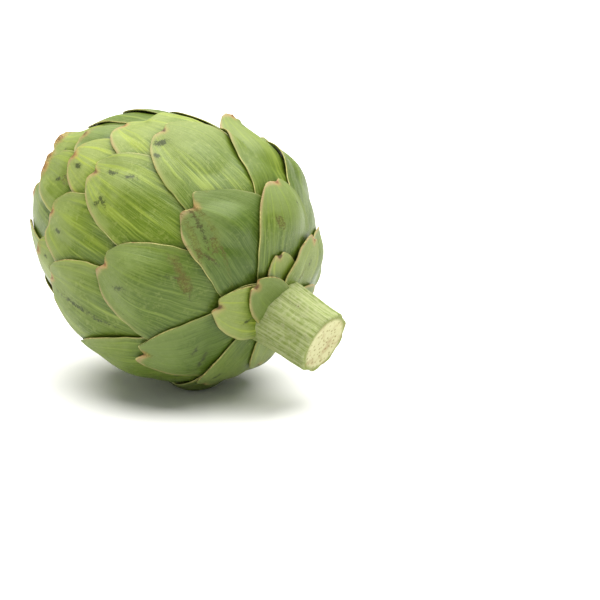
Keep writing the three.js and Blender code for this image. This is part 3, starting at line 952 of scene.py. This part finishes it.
colour = wire.mix(0.75 * wire.value("hidden_side"), green, paint(156, 164, 84))
feed(colour, shader, "Base Color")
feed(0.44 + 0.2 * bloom.at_most(1) - 0.1 * mottle + 0.2 * scar.step(1, -0.5), shader, "Roughness")
relief = 0.6 * fibres + 0.4 * fine_fibres + 0.3 * grain + 0.8 * broad_fibres - 0.5 * scar.step(0.8, -0.4)
bump_inputs = {"Strength": 0.5, "Distance": 0.35 * MM, "Height": relief}
feed(wire.node("ShaderNodeBump", None, bump_inputs), shader, "Normal")
print("bract skin uses", len(skin.node_tree.nodes), "nodes")

# %% The stem's skin, and the heart's colour painted as shade
stem_skin, wire, shader = new_material("stem_skin", IOR=1.42, Specular_IOR_Level=0.3)
from_cut, round_stem = wire.value("from_cut"), wire.value("round_stem")
from_axis, cut_face = wire.value("from_axis"), wire.value("cut_face")
flat = wire.place(round_stem * 0.1, from_cut * 0.1, 0)
threads = wire.noise(wire.place(round_stem * 0.9, from_cut * 0.05, 3), 1.0, 3, 0.6)
mottle = wire.noise(flat, 5.0, 4, 0.6)
outside = wire.mix(threads.step(0.35, 0.65), paint(124, 140, 66), paint(176, 186, 124))
outside = wire.mix(0.5 * mottle.step(0.4, 0.7), outside, paint(186, 190, 146))
outside = wire.mix(0.8 * mottle.step(0.68, 0.74), outside, paint(110, 88, 46))
across_cut = wire.node("ShaderNodeTexCoord", output="Object")
pith_spots = wire.node("ShaderNodeTexVoronoi", {"feature": "F1"}, {"Vector": across_cut, "Scale": 620.0})
pith = wire.mix(pith_spots.step(0.12, 0.4), paint(158, 150, 92), paint(214, 212, 160))
pith = wire.mix(from_axis.step(9.4, 11.4), pith, paint(142, 154, 78))
pith = wire.mix(0.5 * wire.noise(across_cut, 240.0, 3).step(0.5, 0.72), pith, paint(156, 118, 66))
feed(wire.mix(cut_face.step(0.4, 0.6), outside, pith), shader, "Base Color")
feed(0.55 + 0.2 * mottle, shader, "Roughness")
relief = threads * (1 - cut_face) + pith_spots * cut_face
bump_inputs = {"Strength": 0.6, "Distance": 0.4 * MM, "Height": relief}
feed(wire.node("ShaderNodeBump", None, bump_inputs), shader, "Normal")

heart_painted_shade, wire, shader = new_material("heart_painted_shade", IOR=1.42, Specular_IOR_Level=0.3)
lump = wire.noise(wire.node("ShaderNodeTexCoord", output="Object"), 180.0, 4)
# painted shade: the heart gets a dark green like the shadow in the gaps, not its own pale colour
feed(wire.mix(lump.step(0.35, 0.65), paint(112, 124, 46), paint(150, 156, 76)), shader, "Base Color")
feed(0.5 + 0.2 * lump, shader, "Roughness")
print("materials:", [material.name for material in (skin, stem_skin, heart_painted_shade)])

# %% Dress the pieces and fix them to the model
for piece in head_pieces + [heart]:
    piece.data.materials.append(heart_painted_shade if piece is heart else skin)
    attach(piece, "root")
    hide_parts("bract_head")
stem.data.materials.append(stem_skin)
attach(stem, "root")
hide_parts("stem")
print("pieces:", [piece.name for piece in head_pieces], heart.name, stem.name)

# %% [markdown]
# The light is a plain studio's: a white floor that runs out of sight, an even white surround, and one
# very broad light from above and behind, which makes the top pale and leaves a short soft shadow.

# %% Floor and light
FLOOR_SIZE = 40
FLOOR_COLOUR = (0.86, 0.86, 0.855, 1)
SURROUND_COLOUR = (1, 1, 1, 1)
SURROUND_STRENGTH = 0.38
LAMP_STRENGTH = 7.2
LAMP_SPREAD = math.radians(80)
LAMP_COLOUR = (1.0, 0.99, 0.96)
TOWARDS_LAMP = Vector((0.08, 0.14, 1.0))

floor_mesh = bpy.data.meshes.new("floor")
half = FLOOR_SIZE / 2
corners = [(-half, -half, 0), (half, -half, 0), (half, half, 0), (-half, half, 0)]
floor_mesh.from_pydata(corners, [], [(0, 1, 2, 3)])
floor = bpy.data.objects.new("floor", floor_mesh)
bpy.context.scene.collection.objects.link(floor)
floor_white, wire, shader = new_material("floor_white", Roughness=0.9, Specular_IOR_Level=0.1)
shader.inputs["Base Color"].default_value = FLOOR_COLOUR
floor_mesh.materials.append(floor_white)

world = bpy.context.scene.world or bpy.data.worlds.new("studio")
bpy.context.scene.world = world
world.use_nodes = True
surround = world.node_tree.nodes["Background"]
surround.inputs["Color"].default_value = SURROUND_COLOUR
surround.inputs["Strength"].default_value = SURROUND_STRENGTH

lamp = bpy.data.lights.new("broad_light", "SUN")
lamp.energy = LAMP_STRENGTH
lamp.angle = LAMP_SPREAD
lamp.color = LAMP_COLOUR
lamp_object = bpy.data.objects.new("broad_light", lamp)
lamp_object.rotation_mode = "QUATERNION"
lamp_object.rotation_quaternion = TOWARDS_LAMP.to_track_quat("Z", "Y")
bpy.context.scene.collection.objects.link(lamp_object)
bpy.context.scene.view_settings.view_transform = "Standard"
print("floor", FLOOR_SIZE, "m wide, lamp", lamp.energy, "W per square metre")

# %% [markdown]
# The camera looks down a little on the base and side of the head. The middle of the head sits left of
# the picture's centre and above it, so the camera is turned until that point lands there.

# %% Camera
CAMERA_ELEVATION = math.radians(14)
CAMERA_DISTANCE = 0.7
LOOK_HEIGHT = 50.85
PICTURE = 600
LOOK_PIXEL = (179.5, 246.0)
PIXELS_PER_MM = 2.555
SENSOR_WIDTH = 36

look_at = HEAD_BASE + AXIS * LOOK_HEIGHT * MM
forward = Vector((0, math.cos(CAMERA_ELEVATION), -math.sin(CAMERA_ELEVATION)))
focal_pixels = PIXELS_PER_MM * CAMERA_DISTANCE / MM
camera = bpy.data.cameras.new("camera")
camera.sensor_width = SENSOR_WIDTH
camera.lens = focal_pixels * SENSOR_WIDTH / PICTURE
camera_object = bpy.data.objects.new("camera", camera)
camera_object.location = look_at - forward * CAMERA_DISTANCE
towards_pixel = Vector((LOOK_PIXEL[0] - PICTURE / 2, PICTURE / 2 - LOOK_PIXEL[1], -focal_pixels))

facing = forward.to_track_quat("-Z", "Y")
aside = Vector((0, 0, -1)).rotation_difference(towards_pixel)
camera_object.rotation_mode = "QUATERNION"
camera_object.rotation_quaternion = facing @ aside.inverted()
bpy.context.scene.collection.objects.link(camera_object)
bpy.context.scene.camera = camera_object
print(f"camera lens {camera.lens:.0f} mm, {CAMERA_DISTANCE} m from the head's middle")

# %% Finish
bpy.context.view_layer.update()
